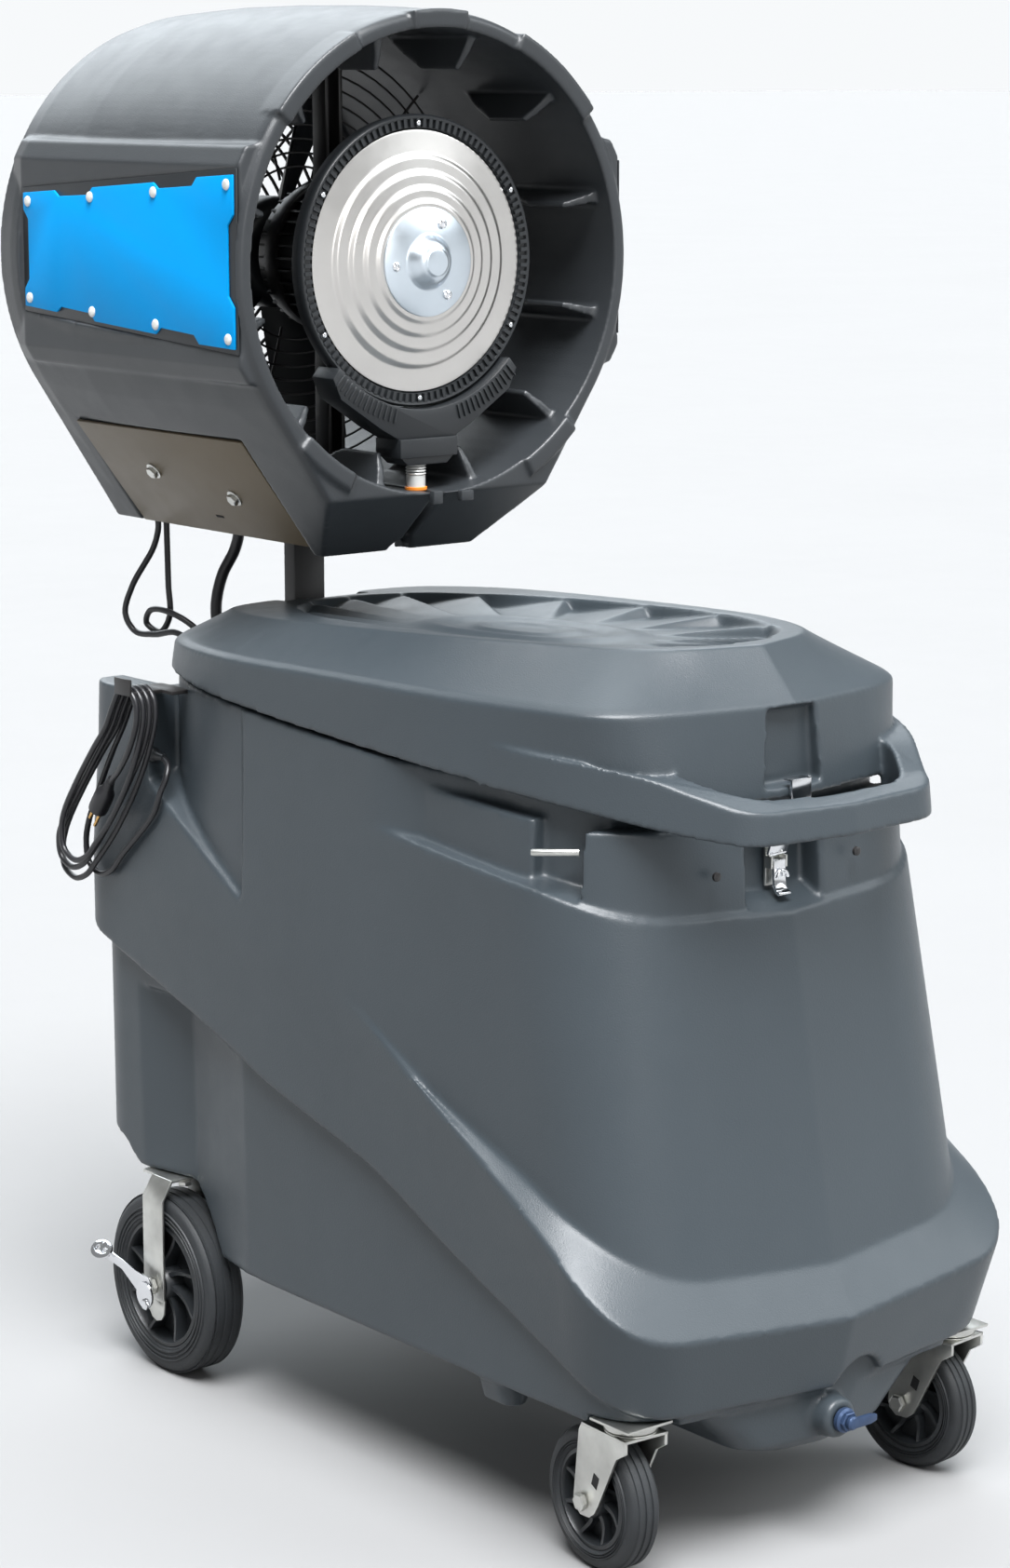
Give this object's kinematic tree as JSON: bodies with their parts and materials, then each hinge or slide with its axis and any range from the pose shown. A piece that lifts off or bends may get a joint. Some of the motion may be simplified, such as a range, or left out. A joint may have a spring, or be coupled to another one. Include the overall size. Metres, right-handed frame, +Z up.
{
  "type": "evaporative cooler",
  "caption": "Rolling evaporative cooler: lidded water tank with carry handle and latch on locking casters, and a panning fan head with an atomiser disc on a short mast.",
  "frame": {"origin": "bottom centre of the object's box, on the ground between the wheels, measured without the power cord", "axes": "+Z up, -Y towards the air outlet and the carry handle, X across"},
  "size_m": [0.557, 1.102, 1.477],
  "materials": {
    "body_plastic": "fine-textured rotational moulding",
    "dark_plastic": "satin",
    "tyre_rubber": "matt",
    "zinc_steel": "zinc plated",
    "chrome_steel": "bright",
    "black_steel": "satin black",
    "taupe_steel": "satin",
    "disc_steel": "spun and matt",
    "blue_paint": "satin",
    "valve_blue": "satin",
    "cord_rubber": "satin"
  },
  "bodies": {
    "base": {"tank": "body_plastic", "lid": "body_plastic", "latch_base": "chrome_steel", "drain_valve": "zinc_steel", "side_pin_left": "zinc_steel", "side_pin_right": "zinc_steel", "pump": "dark_plastic", "mast": "black_steel", "mast_foot": "black_steel", "control_box": "dark_plastic", "pan_bearing": "zinc_steel", "rear_fork_left": "zinc_steel", "rear_fork_right": "zinc_steel", "rear_axle_left": "zinc_steel", "rear_axle_right": "zinc_steel", "caster_plate_left": "zinc_steel", "caster_plate_right": "zinc_steel", "cable_left": "cord_rubber", "cable_right": "cord_rubber", "water_hose": "cord_rubber", "cord_hook": "black_steel", "cord_gland": "dark_plastic", "cord_tail": "cord_rubber", "cord_hank": "cord_rubber", "plug": "cord_rubber"},
    "head": {"yoke": "taupe_steel", "head_shell": "body_plastic", "side_panel_left": "blue_paint", "side_panel_right": "blue_paint", "rear_guard": "black_steel", "motor": "black_steel", "motor_strut": "black_steel", "gutter": "dark_plastic", "water_fitting": "zinc_steel", "ring_housing": "dark_plastic"},
    "rotor": {"fan": "dark_plastic", "shaft": "chrome_steel", "atomiser_disc": "disc_steel", "hub_plate": "chrome_steel", "slinger_ring": "dark_plastic"},
    "latch_lever": {"latch_lever": "chrome_steel"},
    "latch_hook": {"latch_hook": "chrome_steel"},
    "drain_handle": {"drain_handle": "valve_blue"},
    "switch_knob": {"switch_knob": "dark_plastic"},
    "rear_wheel_left": {"rear_rim_left": "dark_plastic", "rear_tyre_left": "tyre_rubber"},
    "brake_left": {"brake_lever_left": "chrome_steel"},
    "front_swivel_left": {"front_fork_left": "zinc_steel", "front_axle_left": "zinc_steel"},
    "front_wheel_left": {"front_rim_left": "dark_plastic", "front_tyre_left": "tyre_rubber"},
    "rear_wheel_right": {"rear_rim_right": "dark_plastic", "rear_tyre_right": "tyre_rubber"},
    "brake_right": {"brake_lever_right": "chrome_steel"},
    "front_swivel_right": {"front_fork_right": "zinc_steel", "front_axle_right": "zinc_steel"},
    "front_wheel_right": {"front_rim_right": "dark_plastic", "front_tyre_right": "tyre_rubber"}
  },
  "joints": [
    {"name": "head_pan", "type": "hinge", "parent": "base", "child": "head", "pos_m": [0, 0.338, 0.91], "axis": [0, 0, 1], "range_deg": [-45, 45]},
    {"name": "rotor_spin", "type": "hinge", "parent": "head", "child": "rotor", "pos_m": [0, 0.239, 1.213], "axis": [0, 1, 0], "continuous": true},
    {"name": "latch_lever_pull", "type": "hinge", "parent": "base", "child": "latch_lever", "pos_m": [0, -0.43, 0.664], "axis": [1, 0, 0], "range_deg": [-90, 0]},
    {"name": "latch_hook_swing", "type": "hinge", "parent": "base", "child": "latch_hook", "pos_m": [0, -0.43, 0.672], "axis": [1, 0, 0], "range_deg": [0, 60]},
    {"name": "drain_turn", "type": "hinge", "parent": "base", "child": "drain_handle", "pos_m": [0, -0.549, 0.129], "axis": [0, 1, 0], "range_deg": [0, 90]},
    {"name": "switch_turn", "type": "hinge", "parent": "base", "child": "switch_knob", "pos_m": [0.03, 0.439, 0.668], "axis": [0, 1, 0], "range_deg": [-60, 60]},
    {"name": "rear_roll_left", "type": "hinge", "parent": "base", "child": "rear_wheel_left", "pos_m": [-0.22, 0.287, 0.10063], "axis": [1, 0, 0], "continuous": true},
    {"name": "brake_press_left", "type": "hinge", "parent": "base", "child": "brake_left", "pos_m": [-0.22, 0.287, 0.10063], "axis": [1, 0, 0], "range_deg": [-12, 0]},
    {"name": "swivel_left", "type": "hinge", "parent": "base", "child": "front_swivel_left", "pos_m": [-0.214, -0.468, 0.15], "axis": [0, 0, 1], "continuous": true},
    {"name": "front_roll_left", "type": "hinge", "parent": "front_swivel_left", "child": "front_wheel_left", "pos_m": [-0.21136, -0.42608, 0.07138], "axis": [0.998, -0.0628, 0], "continuous": true},
    {"name": "rear_roll_right", "type": "hinge", "parent": "base", "child": "rear_wheel_right", "pos_m": [0.22, 0.287, 0.10063], "axis": [1, 0, 0], "continuous": true},
    {"name": "brake_press_right", "type": "hinge", "parent": "base", "child": "brake_right", "pos_m": [0.22, 0.287, 0.10063], "axis": [1, 0, 0], "range_deg": [-12, 0]},
    {"name": "swivel_right", "type": "hinge", "parent": "base", "child": "front_swivel_right", "pos_m": [0.214, -0.468, 0.15], "axis": [0, 0, 1], "continuous": true},
    {"name": "front_roll_right", "type": "hinge", "parent": "front_swivel_right", "child": "front_wheel_right", "pos_m": [0.20961, -0.42623, 0.07138], "axis": [0.9945, 0.1045, 0], "continuous": true}
  ]
}
